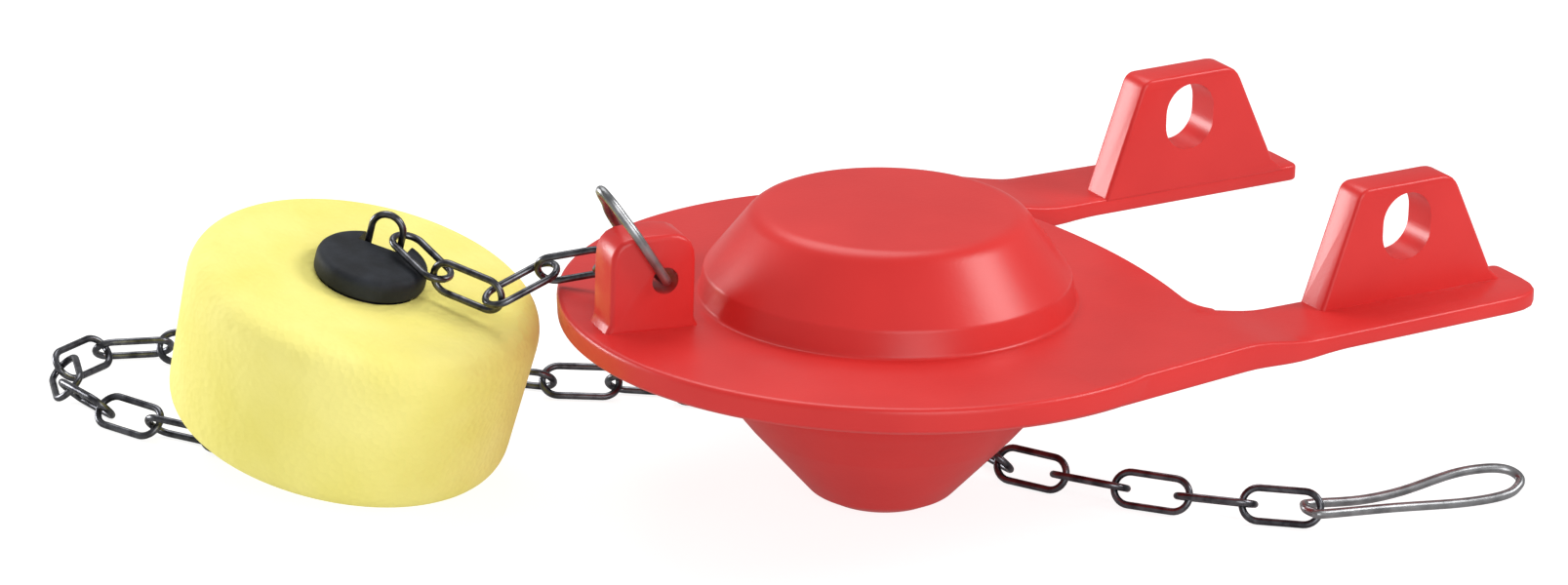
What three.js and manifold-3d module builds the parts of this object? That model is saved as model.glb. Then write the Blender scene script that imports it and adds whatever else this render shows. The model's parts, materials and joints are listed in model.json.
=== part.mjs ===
// Toilet flapper: a moulded rubber valve disc with hinge arms, its chain, foam float, plug and wire clips.
// Millimetres, +Z up. X runs from the chain lug to the hinge ears. It rests as it lies on a bench.
import * as THREE from "three";
import { mergeVertices } from "three/addons/utils/BufferGeometryUtils.js";
import Module from "manifold-3d";

const wasm = await Module();
wasm.setup();

// Driving dimensions
const seatingGap = 0.3;
const roundedShare = 0.95;

const discRadius = 40.5;
const discThickness = 2.5;
const discTop = 26;
const discBackEdge = 34.2;
const backEdgeBow = 2.6;
const backCornerRadius = 4;
const lipRadius = 35;
const lipDrop = 1.4;
const domeBaseRadius = 23;
const domeStep = 3;
const domeRise = 11.3;
const domeTopRadius = 15;
const domeShoulder = 3.4;
const bulbRadius = 26.5;
const bulbWaistRadius = 16.8;
const bulbWaistHeight = 9.6;
const footRadius = 5.6;
const ventRadius = 3;
const rubberWall = 2.2;

const armTop = 24.4;
const armThickness = 2.1;
const armLength = 76.4;
const armInnerWidth = 43;
const armOuterWidth = 65.6;
const armMiddleWidth = 68.4;
const armMiddle = 40;
const armRootWidth = 79.4;
const armRoot = 4;
const armFallStart = 29;
const armFallEnd = 41;
const armOuterRadius = 9;
const armInnerRadius = 1.2;

const earThickness = 4.8;
const earFront = 46.6;
const earBase = 26.3;
const earHeight = 14.9;
const earTopFront = 5.4;
const earTopLength = 13.9;
const earFrontRadius = 1.4;
const earRearRadius = 2.4;
const earFootRadius = 1.4;
const eyeRadius = 3.6;
const eyeSlot = 1.5;
const eyeFromFront = 12.4;
const eyeHeight = 9.2;

const lugLength = 11;
const lugThickness = 6;
const lugHeight = 12;
const lugReach = 32;
const lugBearing = THREE.MathUtils.degToRad(10);
const lugCornerRadius = 3;
const lugHoleRadius = 1.7;
const lugHoleOffset = 1.5;
const lugHoleHeight = 6.2;

const clipWire = 1.2;
const clipLength = 13.4;
const clipTipWidth = 5;
const clipLean = THREE.MathUtils.degToRad(33);
const clipHold = 3.5;

const linkLength = 10.6;
const linkWidth = 5;
const linkWire = 0.9;
const linkPitch = linkLength - 2 * linkWire - seatingGap;
const tableHeight = 1.95;
const tailHeight = 2.4;
const upperLeans = [-35, 62, -5, 85, 5];
const boreLeans = [60, 120, 180];
const underLeans = [24, -28];
const tableLeans = [45, -45];
const tailLeans = [67, -23];

const floatTopRadius = 22.3;
const floatBaseRadius = 21.2;
const floatHeight = 21.6;
const floatEdge = 3.2;
const floatTilt = THREE.MathUtils.degToRad(13.5);
const floatTurn = THREE.MathUtils.degToRad(-68.5);
const floatPlace = new THREE.Vector3(-53.7, 41.3, 0);
const boreRadius = 6.2;
const boreMouth = 2;

const plugHeadRadius = 7;
const plugHeadHeight = 2.8;
const plugStemLength = 11;
const plugNotchWidth = 6.2;
const plugNotchFloor = 2.9;
const plugStemFace = -0.4;

const archBearing = THREE.MathUtils.degToRad(109);
const archSide = 3.8;
const archRise = 4.5;
const archHold = 1.2;

const hookWire = 1.2;
const hookLength = 28.5;
const hookWidth = 3.8;
const hookRise = 2.8;
const hookTurn = THREE.MathUtils.degToRad(-7);
const hookDip = THREE.MathUtils.degToRad(3.4);

// Materials
const rubber = new THREE.MeshStandardMaterial({ color: 0xc4121f, roughness: 0.35, metalness: 0 });
const foam = new THREE.MeshStandardMaterial({ color: 0xf0e878, roughness: 0.9, metalness: 0 });
const blackPlastic = new THREE.MeshStandardMaterial({ color: 0x17191f, roughness: 0.45, metalness: 0 });
const stainlessWire = new THREE.MeshStandardMaterial({ color: 0x8d8f92, roughness: 0.3, metalness: 1 });

const up = new THREE.Vector3(0, 0, 1);
const quarter = Math.PI / 2;

// Solids and their joins and cuts
function weld(geometry) {
  const bare = geometry.index ? geometry.clone() : geometry;
  bare.deleteAttribute("normal");
  bare.deleteAttribute("uv");
  return mergeVertices(bare, 1e-5);
}

function toSolid(geometry) {
  const welded = weld(geometry);
  return new wasm.Manifold(new wasm.Mesh({
    numProp: 3,
    vertProperties: new Float32Array(welded.attributes.position.array),
    triVerts: new Uint32Array(welded.index.array),
  }));
}

function toGeometry(solid) {
  const mesh = solid.getMesh();
  const geometry = new THREE.BufferGeometry();
  geometry.setAttribute("position", new THREE.BufferAttribute(new Float32Array(mesh.vertProperties), 3));
  geometry.setIndex(new THREE.BufferAttribute(new Uint32Array(mesh.triVerts), 1));
  geometry.computeVertexNormals();
  return geometry;
}

function join(...geometries) {
  return toGeometry(geometries.map(toSolid).reduce((whole, piece) => whole.add(piece)));
}

function cut(geometry, ...tools) {
  return toGeometry(tools.map(toSolid).reduce((whole, tool) => whole.subtract(tool), toSolid(geometry)));
}

// How far a round reaches along an edge, which it shares with the round at the edge's other end
function roundReach(radius, edgeLength, otherRadius = 0) {
  const room = edgeLength * roundedShare;
  const wanted = radius + otherRadius;
  return wanted > room ? (room * radius) / wanted : radius;
}

// An outline with every corner rounded: points are [x, y, radius]
function roundedOutline(points) {
  const shape = new THREE.Shape();
  points.forEach(([x, y, radius = 0], index) => {
    const corner = new THREE.Vector2(x, y);
    const [beforeX, beforeY, beforeRadius] = points.at(index - 1);
    const [afterX, afterY, afterRadius] = points[(index + 1) % points.length];
    const before = new THREE.Vector2(beforeX, beforeY).sub(corner);
    const after = new THREE.Vector2(afterX, afterY).sub(corner);
    const reach = Math.min(
      roundReach(radius, before.length(), beforeRadius),
      roundReach(radius, after.length(), afterRadius),
    );
    const start = before.setLength(reach).add(corner);
    const end = after.setLength(reach).add(corner);
    if (index === 0) {
      shape.moveTo(start.x, start.y);
    } else {
      shape.lineTo(start.x, start.y);
    }
    if (radius > 0) {
      shape.quadraticCurveTo(x, y, end.x, end.y);
    }
  });
  shape.closePath();
  return shape;
}

function extrudeShape(shape, depth, curveSegments = 6) {
  return new THREE.ExtrudeGeometry(shape, { depth, bevelEnabled: false, curveSegments });
}

// An outline in the X-Z plane, extruded along Y about its middle
function uprightPlate(shape, thickness, curveSegments) {
  const plate = extrudeShape(shape, thickness, curveSegments);
  plate.rotateX(Math.PI / 2);
  plate.translate(0, thickness / 2, 0);
  return plate;
}

function crossBar(radius, length, x, z, sides = 20) {
  const bar = new THREE.CylinderGeometry(radius, radius, length, sides);
  bar.translate(x, 0, z);
  return bar;
}

// A profile of [radius, height] pairs, from the top of the axis down to its foot, turned about Z
function revolve(profile, segments) {
  const points = profile.map(([r, z]) => new THREE.Vector2(r, z)).reverse();
  const solid = new THREE.LatheGeometry(points, segments);
  solid.rotateX(Math.PI / 2);
  return solid;
}

// Points of a quarter round between two directions, as [radius, height] pairs
function arcPoints(centreR, centreZ, radius, startDegrees, endDegrees, steps) {
  return Array.from({ length: steps + 1 }, (_, step) => {
    const angle = THREE.MathUtils.degToRad(startDegrees + ((endDegrees - startDegrees) * step) / steps);
    return [centreR + radius * Math.cos(angle), centreZ + radius * Math.sin(angle)];
  });
}

// Valve disc, dome above it and bulb below it, hollow, open at the vent in the foot
function valveProfile() {
  const discUnder = discTop - discThickness;
  const domeTop = discTop + domeRise;
  const innerStep = domeBaseRadius - rubberWall;
  return [
    [0, domeTop],
    ...arcPoints(domeTopRadius, domeTop - domeShoulder, domeShoulder, 90, 45, 3),
    [domeBaseRadius - 0.6, discTop + domeStep + 0.6],
    [domeBaseRadius, discTop + domeStep - 0.4],
    [domeBaseRadius + 0.4, discTop + 0.9],
    [domeBaseRadius + 1.4, discTop],
    [discRadius - 0.5, discTop],
    [discRadius, discTop - 0.7],
    [discRadius - 0.2, discUnder + 0.5],
    [discRadius - 1, discUnder],
    [lipRadius + 0.6, discUnder],
    [lipRadius, discUnder - lipDrop],
    [lipRadius - 1.2, discUnder - lipDrop],
    [lipRadius - 2, discUnder],
    [bulbRadius, discUnder],
    [bulbRadius - 3.2, discUnder - 4.5],
    [(bulbRadius + bulbWaistRadius) / 2, bulbWaistHeight + 5.6],
    [bulbWaistRadius, bulbWaistHeight],
    [(bulbWaistRadius + footRadius) / 2 + 2, bulbWaistHeight / 2],
    [footRadius + 2.6, 1.2],
    [footRadius, 0],
    [ventRadius, 0],
    [ventRadius, rubberWall],
    [footRadius + 1, rubberWall + 1.2],
    [bulbWaistRadius - rubberWall * 1.3, bulbWaistHeight + 0.6],
    [(bulbRadius + bulbWaistRadius) / 2 - rubberWall, bulbWaistHeight + 6.4],
    [innerStep, discUnder - 0.5],
    [innerStep, discTop + domeStep - 1],
    [domeTopRadius, domeTop - rubberWall - 1.2],
    [domeTopRadius - 2, domeTop - rubberWall],
    [0, domeTop - rubberWall],
  ];
}

function armOutline(side) {
  const innerY = (side * armInnerWidth) / 2;
  return roundedOutline([
    [armRoot, (side * armRootWidth) / 2],
    [armMiddle, (side * armMiddleWidth) / 2, armInnerRadius],
    [armLength, (side * armOuterWidth) / 2, armOuterRadius],
    [armLength, innerY, armInnerRadius],
    [domeBaseRadius, innerY],
  ]);
}

// What is cut off over or under an arm, which falls from the disc to the level of its ear
function armWaste(drop, farSide) {
  const shape = roundedOutline([
    [armRoot - 5, discTop - drop],
    [armFallStart, discTop - drop],
    [armFallEnd, armTop - drop],
    [armLength + 5, armTop - drop],
    [armLength + 5, farSide],
    [armRoot - 5, farSide],
  ]);
  return uprightPlate(shape, discRadius * 3);
}

function arm(side) {
  const margin = armThickness * 2;
  const plate = extrudeShape(armOutline(side), discTop - armTop + margin * 2);
  plate.translate(0, 0, armTop - margin);
  const over = armWaste(0, discTop + margin * 2);
  const under = armWaste(armThickness, armTop - margin * 2);
  return cut(plate, over, under);
}

function ear(side) {
  const base = armTop - 0.5;
  const top = armTop + earHeight;
  const outline = roundedOutline([
    [earFront, base],
    [earFront + earBase + earFootRadius, base],
    [earFront + earBase - earFootRadius / 2, armTop + earFootRadius, earFootRadius],
    [earFront + earTopFront + earTopLength, top, earRearRadius],
    [earFront + earTopFront, top, earFrontRadius],
  ]);
  const plate = uprightPlate(outline, earThickness);
  const eyeX = earFront + eyeFromFront;
  const eyeTop = crossBar(eyeRadius, earThickness * 2, eyeX, armTop + eyeHeight + eyeSlot / 2);
  const eyeFoot = crossBar(eyeRadius, earThickness * 2, eyeX, armTop + eyeHeight - eyeSlot / 2);
  const eyeMiddle = new THREE.BoxGeometry(eyeRadius * 2, earThickness * 2, eyeSlot);
  eyeMiddle.translate(eyeX, 0, armTop + eyeHeight);
  const tab = cut(plate, eyeTop, eyeFoot, eyeMiddle);
  tab.translate(0, (side * (armInnerWidth - 0.3 + earThickness)) / 2, 0);
  return tab;
}

function lug() {
  const half = lugLength / 2;
  const base = discTop - 0.5;
  const top = discTop + lugHeight;
  const outline = roundedOutline([
    [-half - 0.8, base],
    [half + 0.8, base],
    [half, discTop + 1, 1],
    [half, top, lugCornerRadius],
    [-half, top, lugCornerRadius],
    [-half, discTop + 1, 1],
  ]);
  const plate = uprightPlate(outline, lugThickness);
  const hole = crossBar(lugHoleRadius, lugThickness * 2, lugHoleOffset, discTop + lugHoleHeight, 14);
  const tab = cut(plate, hole);
  tab.translate(-lugReach, 0, 0);
  tab.rotateZ(-lugBearing);
  return tab;
}

// The bowed back edge of the disc, between the arms, with a round in each corner
function backCut() {
  const innerY = armInnerWidth / 2;
  const past = discRadius + 10;
  const cornerX = discBackEdge - backEdgeBow;
  const shape = roundedOutline([
    [discBackEdge, 0, innerY * 0.7],
    [cornerX, -innerY, backCornerRadius],
    [past, -innerY],
    [past, innerY],
    [cornerX, innerY, backCornerRadius],
  ]);
  const cutter = extrudeShape(shape, discThickness * 4);
  cutter.translate(0, 0, discTop - discThickness * 2);
  return cutter;
}

function flapperBody() {
  const valve = revolve(valveProfile(), 56);
  const plate = cut(join(valve, arm(1), arm(-1)), backCut());
  return join(plate, ear(1), ear(-1), lug());
}

// A closed ring of wire along a loop that is given by its points
class WireLoop extends THREE.Curve {
  constructor(points) {
    super();
    this.points = points;
  }

  getPoint(t, target = new THREE.Vector3()) {
    const place = (t % 1) * this.points.length;
    const index = Math.floor(place + 1e-9);
    const from = this.points[index % this.points.length];
    const to = this.points[(index + 1) % this.points.length];
    return target.copy(from).lerp(to, Math.max(0, place - index));
  }

  getPointAt(t, target) {
    return this.getPoint(t, target);
  }

  getTangentAt(t, target = new THREE.Vector3()) {
    const step = 0.5 / this.points.length;
    return target.copy(this.getPoint((t + step) % 1)).sub(this.getPoint((t - step + 1) % 1)).normalize();
  }
}

function wireRing(points, wire, sides = 6) {
  return weld(new THREE.TubeGeometry(new WireLoop(points), points.length, wire / 2, sides, true));
}

// A chain link: a stadium of wire, long along X, flat in the X-Y plane
function linkGeometry() {
  const endRadius = (linkWidth - linkWire) / 2;
  const half = (linkLength - linkWidth) / 2;
  const steps = 6;
  const end = (side) => Array.from({ length: steps + 1 }, (_, step) => {
    const angle = -Math.PI / 2 + (Math.PI * step) / steps;
    return new THREE.Vector3(side * (half + endRadius * Math.cos(angle)), side * endRadius * Math.sin(angle), 0);
  });
  return wireRing([...end(1), ...end(-1)], linkWire);
}

// The way a link faces: its long axis along the run, its plane turned by lean from lying flat
function linkFacing(direction, lean, upright) {
  const flatNormal = upright.clone().addScaledVector(direction, -upright.dot(direction)).normalize();
  const normal = flatNormal.applyAxisAngle(direction, lean);
  const across = normal.clone().cross(direction);
  return new THREE.Matrix4().makeBasis(direction, across, normal);
}

const chainLinks = [];

function addLink(start, end, lean, upright = up) {
  const direction = end.clone().sub(start).normalize();
  const number = String(chainLinks.length + 1).padStart(2, "0");
  const link = new THREE.Mesh(linkGeometry(), stainlessWire);
  link.name = `chain_link_${number}`;
  link.applyMatrix4(linkFacing(direction, lean, upright));
  link.position.copy(start).add(end).multiplyScalar(0.5);
  chainLinks.push(link);
}

// A run of chain along a route: links of equal pitch, which lean in turn by the angles in leans
function addRun(route, leans, upright = up) {
  const curve = new THREE.CatmullRomCurve3(route, false, "centripetal");
  const count = Math.ceil(curve.getLength() / linkPitch - 0.01);
  const places = curve.getSpacedPoints(count);
  for (let index = 0; index < count; index += 1) {
    const lean = THREE.MathUtils.degToRad(leans[index % leans.length]);
    addLink(places[index], places[index + 1], lean, upright);
  }
}

// Foam float: a tapered round block with soft edges and a bore, flared at its lower mouth
function floatGeometry() {
  const base = arcPoints(floatBaseRadius - floatEdge, floatEdge, floatEdge, -90, 0, 4);
  const top = arcPoints(floatTopRadius - floatEdge, floatHeight - floatEdge, floatEdge, 0, 90, 4);
  const block = revolve([[0, floatHeight], ...[...base, ...top].reverse(), [0, 0]], 40);
  const bore = revolve([
    [0, floatHeight + 1],
    [boreRadius, floatHeight + 1],
    [boreRadius, boreMouth],
    [boreRadius + boreMouth + 1, -1],
    [0, -1],
  ], 24);
  return cut(block, bore);
}

// Plug: a round head over the bore, notched for the chain, and a half-round stem that wedges it
function plugGeometry() {
  const seat = floatHeight + seatingGap;
  const headTop = seat + plugHeadHeight;
  const stemRadius = boreRadius - seatingGap;
  const head = revolve([
    [0, headTop],
    [plugHeadRadius - 1.4, headTop],
    [plugHeadRadius - 0.4, headTop - 0.5],
    [plugHeadRadius, headTop - 1.3],
    [plugHeadRadius, seat],
    [0, seat],
  ], 28);
  const stem = revolve([
    [0, seat + 0.5],
    [stemRadius, seat + 0.5],
    [stemRadius, seat - plugStemLength + 3],
    [stemRadius - 1.2, seat - plugStemLength],
    [0, seat - plugStemLength],
  ], 28);
  const chainWay = new THREE.BoxGeometry(boreRadius * 4, boreRadius * 2, plugStemLength * 2);
  chainWay.translate(0, boreRadius + plugStemFace, seat - plugStemLength);
  const notch = new THREE.BoxGeometry(plugNotchWidth, plugHeadRadius * 2, plugStemLength * 2);
  notch.translate(0, plugHeadRadius + plugNotchFloor, seat);
  const plug = cut(join(head, cut(stem, chainWay)), notch);
  plug.rotateZ(archBearing - quarter);
  return plug;
}

// The float leans on its lower edge, lifted at the other side by the chain under it
const floatFrame = new THREE.Matrix4();
floatFrame.makeTranslation(floatPlace);
floatFrame.multiply(new THREE.Matrix4().makeRotationZ(floatTurn));
floatFrame.multiply(new THREE.Matrix4().makeTranslation(floatBaseRadius - floatEdge, 0, floatEdge));
floatFrame.multiply(new THREE.Matrix4().makeRotationY(floatTilt));
floatFrame.multiply(new THREE.Matrix4().makeTranslation(floatEdge - floatBaseRadius, 0, -floatEdge));

const onFloat = (x, y, z) => new THREE.Vector3(x, y, z).applyMatrix4(floatFrame);
const floatAxis = new THREE.Vector3(0, 0, 1).transformDirection(floatFrame);

// Lug clip: a narrow closed loop of wire through the hole of the lug, leaning out over the rim.
// It stands clear of the far side of the lug by the wire of the first link.
function clipPoints() {
  const pastLug = (lugHeight - lugHoleHeight) / Math.cos(clipLean) + seatingGap;
  const tipRadius = clipTipWidth / 2;
  const half = (side) => [
    [0, side - 0.9],
    [0.3, side - 0.3],
    [1, side],
    [pastLug, side],
    [clipLength - tipRadius - 0.5, tipRadius + 0.3],
    [clipLength - tipRadius * 0.5, tipRadius * 0.8],
    [clipLength - tipRadius * 0.12, tipRadius * 0.4],
  ];
  const far = half(clipFarSide).map(([along, across]) => new THREE.Vector3(along, across, 0));
  const near = half(clipNearSide).map(([along, across]) => new THREE.Vector3(along, -across, 0));
  return [new THREE.Vector3(), ...far, new THREE.Vector3(clipLength, 0, 0), ...near.reverse()];
}

const clipNearSide = lugThickness / 2 + seatingGap + clipWire / 2;
const clipFarSide = clipNearSide + linkWire + seatingGap * 2;
const clipFrame = new THREE.Matrix4().makeRotationZ(-lugBearing);
clipFrame.multiply(new THREE.Matrix4().makeTranslation(lugHoleOffset - lugReach, 0, discTop + lugHoleHeight));
clipFrame.multiply(new THREE.Matrix4().makeRotationY(-Math.PI / 2 - clipLean));
const onClip = (along, across) => new THREE.Vector3(along, across, 0).applyMatrix4(clipFrame);

// End hook: a long narrow loop of wire, bowed up on one side, that clips to the flush lever
function hookPoints() {
  const half = hookWidth / 2;
  return [
    [-1, 0, 0],
    [-0.6, -half * 0.7, 0],
    [0.4, -half, 0],
    [hookLength * 0.35, -half * 0.9, 0],
    [hookLength * 0.7, -half, 0],
    [hookLength * 0.9, -half, hookRise * 0.2],
    [hookLength * 0.98, -half * 0.6, hookRise * 0.5],
    [hookLength, 0, hookRise * 0.75],
    [hookLength * 0.96, half * 0.7, hookRise * 0.95],
    [hookLength * 0.86, half, hookRise],
    [hookLength * 0.7, half, hookRise * 0.85],
    [hookLength * 0.45, half * 0.9, hookRise * 0.25],
    [hookLength * 0.25, half * 0.9, 0],
    [0.4, half, 0],
    [-0.6, half * 0.7, 0],
  ].map(([x, y, z]) => new THREE.Vector3(x, y, z));
}

// From the clip over the rim of the disc and the float to the arch link, which stands in the plug
const archDirection = new THREE.Vector3(Math.cos(archBearing), Math.sin(archBearing), 0);
const alongArch = (side, height) => {
  const place = archDirection.clone().multiplyScalar(side);
  return onFloat(place.x, place.y, height);
};
const headTop = floatHeight + seatingGap + plugHeadHeight;
const archCentre = headTop + archRise - linkLength / 2;
const archNormal = archDirection.clone().transformDirection(floatFrame);
const archSideways = archNormal.clone().cross(floatAxis);
const barOvershoot = (linkWire + seatingGap) / 2;
const archLeg = alongArch(archSide + barOvershoot, headTop + archHold);
archLeg.addScaledVector(archSideways, (linkWidth - linkWire) / 2);
const firstBar = onClip(clipHold, lugThickness / 2 + seatingGap * 1.5 + linkWire / 2);
addRun([
  firstBar.clone().add(new THREE.Vector3(0.15, 0.7, -0.35)),
  new THREE.Vector3(-30.4, 16.6, 30.4),
  new THREE.Vector3(-34.2, 21.6, 29.1),
  new THREE.Vector3(-40, 21.4, 25.6),
  new THREE.Vector3(-45.2, 27.2, 26.2),
  archLeg,
], upperLeans);
const archBottom = alongArch(archSide, archCentre - linkPitch / 2);
addLink(alongArch(archSide, archCentre + linkPitch / 2), archBottom, 0, archNormal);

// Down the bore of the float
const boreEnd = alongArch(1, -0.3);
addRun([archBottom, alongArch(2.4, floatHeight * 0.55), boreEnd], boreLeans, archNormal);

// Out under the float, round its far side, under the disc and past the bulb
const exitWay = new THREE.Vector3(-0.69, 0.73, 0);
const underFloat = new THREE.Vector3(-65.6, 51.6, tableHeight);
addRun([
  boreEnd.clone().addScaledVector(exitWay, barOvershoot).addScaledVector(up, barOvershoot + 0.1),
  new THREE.Vector3(-60, 46.4, 1.6),
  underFloat,
], underLeans);
const tailStart = new THREE.Vector3(16, -3, tailHeight);
addRun([
  underFloat,
  new THREE.Vector3(-70.6, 61, tableHeight),
  new THREE.Vector3(-73, 70.5, tableHeight),
  new THREE.Vector3(-72, 78.8, tableHeight),
  new THREE.Vector3(-67.2, 84.5, tableHeight),
  new THREE.Vector3(-60.5, 85.5, tableHeight),
  new THREE.Vector3(-53, 81.8, tableHeight),
  new THREE.Vector3(-43, 73.8, tableHeight),
  new THREE.Vector3(-33, 64.6, tableHeight),
  new THREE.Vector3(-25.5, 57, tableHeight),
  new THREE.Vector3(-20, 51, tableHeight),
  new THREE.Vector3(-14.3, 47.2, tableHeight),
  new THREE.Vector3(-7.5, 42.5, tableHeight),
  new THREE.Vector3(0, 35.5, tableHeight),
  new THREE.Vector3(7.5, 26.5, tableHeight),
  new THREE.Vector3(13.6, 14.5, tableHeight),
  new THREE.Vector3(16.4, 5, 2.1),
  tailStart,
], tableLeans);

// The tail, with the hook on its last link
const hookEye = new THREE.Vector3(40.9, -34.6, tailHeight);
addRun([
  tailStart,
  new THREE.Vector3(20.8, -12.2, tailHeight),
  new THREE.Vector3(26.6, -20.6, tailHeight),
  new THREE.Vector3(33, -27.6, tailHeight),
  hookEye,
], tailLeans);

const hookFrame = new THREE.Matrix4().makeTranslation(hookEye.x, hookEye.y, hookEye.z);
hookFrame.multiply(new THREE.Matrix4().makeRotationZ(hookTurn));
hookFrame.multiply(new THREE.Matrix4().makeRotationY(hookDip));

const flapper = new THREE.Group();

function addPiece(name, geometry, material, frame = new THREE.Matrix4()) {
  const piece = new THREE.Mesh(geometry, material);
  piece.name = name;
  piece.applyMatrix4(frame);
  flapper.add(piece);
}

addPiece("flapper_body", flapperBody(), rubber);
addPiece("lug_clip", wireRing(clipPoints(), clipWire, 8), stainlessWire, clipFrame);
addPiece("float", floatGeometry(), foam, floatFrame);
addPiece("float_plug", plugGeometry(), blackPlastic, floatFrame);
addPiece("end_hook", wireRing(hookPoints(), hookWire, 8), stainlessWire, hookFrame);
flapper.add(...chainLinks);

// The origin goes to the middle of the whole part, on the surface that it lies on
const extent = new THREE.Box3().setFromObject(flapper, true);
const middle = extent.getCenter(new THREE.Vector3());
flapper.position.set(-middle.x, -middle.y, -extent.min.z);

export default flapper;
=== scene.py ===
import json
import math

import bmesh
import bpy
import numpy as np
from mathutils import Matrix, Vector

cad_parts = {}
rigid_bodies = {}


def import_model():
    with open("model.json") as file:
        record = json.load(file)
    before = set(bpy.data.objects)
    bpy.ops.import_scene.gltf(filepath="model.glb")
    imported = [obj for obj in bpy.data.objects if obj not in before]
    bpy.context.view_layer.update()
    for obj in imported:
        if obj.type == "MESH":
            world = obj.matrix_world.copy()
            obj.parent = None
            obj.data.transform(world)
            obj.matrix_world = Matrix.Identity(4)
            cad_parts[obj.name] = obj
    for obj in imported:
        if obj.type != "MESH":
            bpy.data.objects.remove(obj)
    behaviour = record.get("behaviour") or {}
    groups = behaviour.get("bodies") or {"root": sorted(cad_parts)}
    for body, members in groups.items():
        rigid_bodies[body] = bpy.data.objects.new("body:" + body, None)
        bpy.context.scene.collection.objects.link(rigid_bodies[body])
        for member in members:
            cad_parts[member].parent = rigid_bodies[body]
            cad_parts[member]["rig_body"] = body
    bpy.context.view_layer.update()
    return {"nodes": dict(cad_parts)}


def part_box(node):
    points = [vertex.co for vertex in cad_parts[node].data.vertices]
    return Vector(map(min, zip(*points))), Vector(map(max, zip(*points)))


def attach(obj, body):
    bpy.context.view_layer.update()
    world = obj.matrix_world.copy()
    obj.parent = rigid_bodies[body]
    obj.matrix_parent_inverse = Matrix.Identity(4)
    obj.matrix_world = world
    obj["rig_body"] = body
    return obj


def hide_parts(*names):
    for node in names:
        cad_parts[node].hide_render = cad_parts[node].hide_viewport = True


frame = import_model()

mm = 0.001
nodes = frame["nodes"]
discRadius = 40.5
bodyLow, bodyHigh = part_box("flapper_body")
flapperAxis = Vector((bodyLow.x + discRadius * mm, (bodyLow.y + bodyHigh.y) / 2, 0))  # the disc's axis
print("frame loaded:", len(nodes), "nodes")


# camera: the photograph's viewing angle, worked out from the disc and the dome; lengths in millimetres
cameraView = {
    "azimuth": -32.67,
    "elevation": 19.56,
    "roll": 1.7,
    "distance": 1260,
    "aimHeight": 26,
    "aimRight": -12.62,
    "focalPixels": 10550,
    "imageWidth": 1607,
    "sensorWidth": 36,
    "clipEnd": 10000,
}


def addCamera(view):
    azimuth = math.radians(view["azimuth"])
    elevation = math.radians(view["elevation"])
    right = Vector((math.cos(azimuth), math.sin(azimuth), 0))
    ahead = Vector((-math.sin(azimuth), math.cos(azimuth), 0))
    back = Vector((0, 0, math.sin(elevation))) - ahead * math.cos(elevation)
    up = back.cross(right)
    place = Vector((0, 0, view["aimHeight"])) + back * view["distance"] + right * view["aimRight"]
    turn = Matrix((right, up, back)).transposed().to_4x4()
    roll = Matrix.Rotation(math.radians(view["roll"]), 4, "Z")
    camera = bpy.data.objects.new("camera", bpy.data.cameras.new("camera"))
    camera.data.sensor_width = view["sensorWidth"]
    camera.data.lens = view["focalPixels"] / view["imageWidth"] * view["sensorWidth"]
    camera.data.clip_end = view["clipEnd"] * mm
    camera.matrix_world = Matrix.Translation(flapperAxis + place * mm) @ turn @ roll
    bpy.context.scene.collection.objects.link(camera)
    bpy.context.scene.camera = camera


addCamera(cameraView)


# colours are written in sRGB, and the shaders take them linear
def linearColour(hexColour):
    channels = [int(hexColour[i:i + 2], 16) / 255 for i in (1, 3, 5)]
    return tuple(c / 12.92 if c <= 0.04045 else ((c + 0.055) / 1.055) ** 2.4 for c in channels) + (1.0,)


# adds a node: an input that is a socket is linked, any other is set, and stops are the ends of a colour ramp
def addNode(tree, kind, settings=None, inputs=None, stops=()):
    node = tree.nodes.new(kind)
    for name, value in (settings or {}).items():
        setattr(node, name, value)
    for name, value in (inputs or {}).items():
        if isinstance(value, bpy.types.NodeSocket):
            tree.links.new(value, node.inputs[name])
        else:
            node.inputs[name].default_value = value
    for index, (position, colour) in enumerate(stops):
        node.color_ramp.elements[index].position = position
        node.color_ramp.elements[index].color = linearColour(colour)
    return node


def newMaterial(name):
    material = bpy.data.materials.new(name)
    material.use_nodes = True
    material.node_tree.nodes.clear()
    return material, material.node_tree


# a texture's scale for a pattern that repeats every so many millimetres
def scaleFor(sizeMm):
    return 1 / (sizeMm * mm)


fineDetail = 3  # octaves of noise in the finer patterns

# moulded thermoplastic rubber: bright red, satin from the mould, a soft wide highlight
rubberFinish = {
    "cloudMm": 14, "colours": [(0.3, "#CC2826"), (0.7, "#D52F2C")],
    "grainMm": 0.55, "grainDepthMm": 0.012,  # the mould's grain, as coarse as it needs to show
    "waveMm": 9, "waveDepthMm": 0.05,
    "roughness": 0.34, "ior": 1.46,
}


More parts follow.
